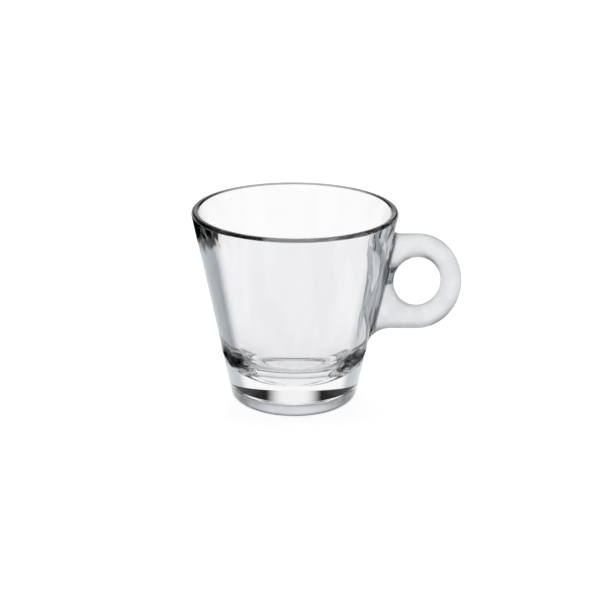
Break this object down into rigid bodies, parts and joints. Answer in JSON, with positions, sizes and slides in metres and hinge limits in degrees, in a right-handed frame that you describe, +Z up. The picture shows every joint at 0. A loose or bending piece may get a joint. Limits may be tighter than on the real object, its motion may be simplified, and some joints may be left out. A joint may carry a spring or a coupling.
{
  "type": "coffee cup",
  "caption": "Conical clear glass coffee cup with a thick base, a rounded lip and a satin ring handle with an oval finger hole.",
  "frame": {"origin": "on the table, under the middle of the cup's overall length and width", "axes": "+Z up out of the mouth, +X from the bowl towards the handle"},
  "size_m": [0.0844, 0.0642, 0.062],
  "materials": {
    "clear_glass": "clear pressed glass, fire polished",
    "satin_glass": "satin, frosted surface"
  },
  "bodies": {
    "root": {"glass_bowl": "clear_glass", "handle_root": "clear_glass", "handle_ring": "satin_glass"}
  },
  "joints": []
}
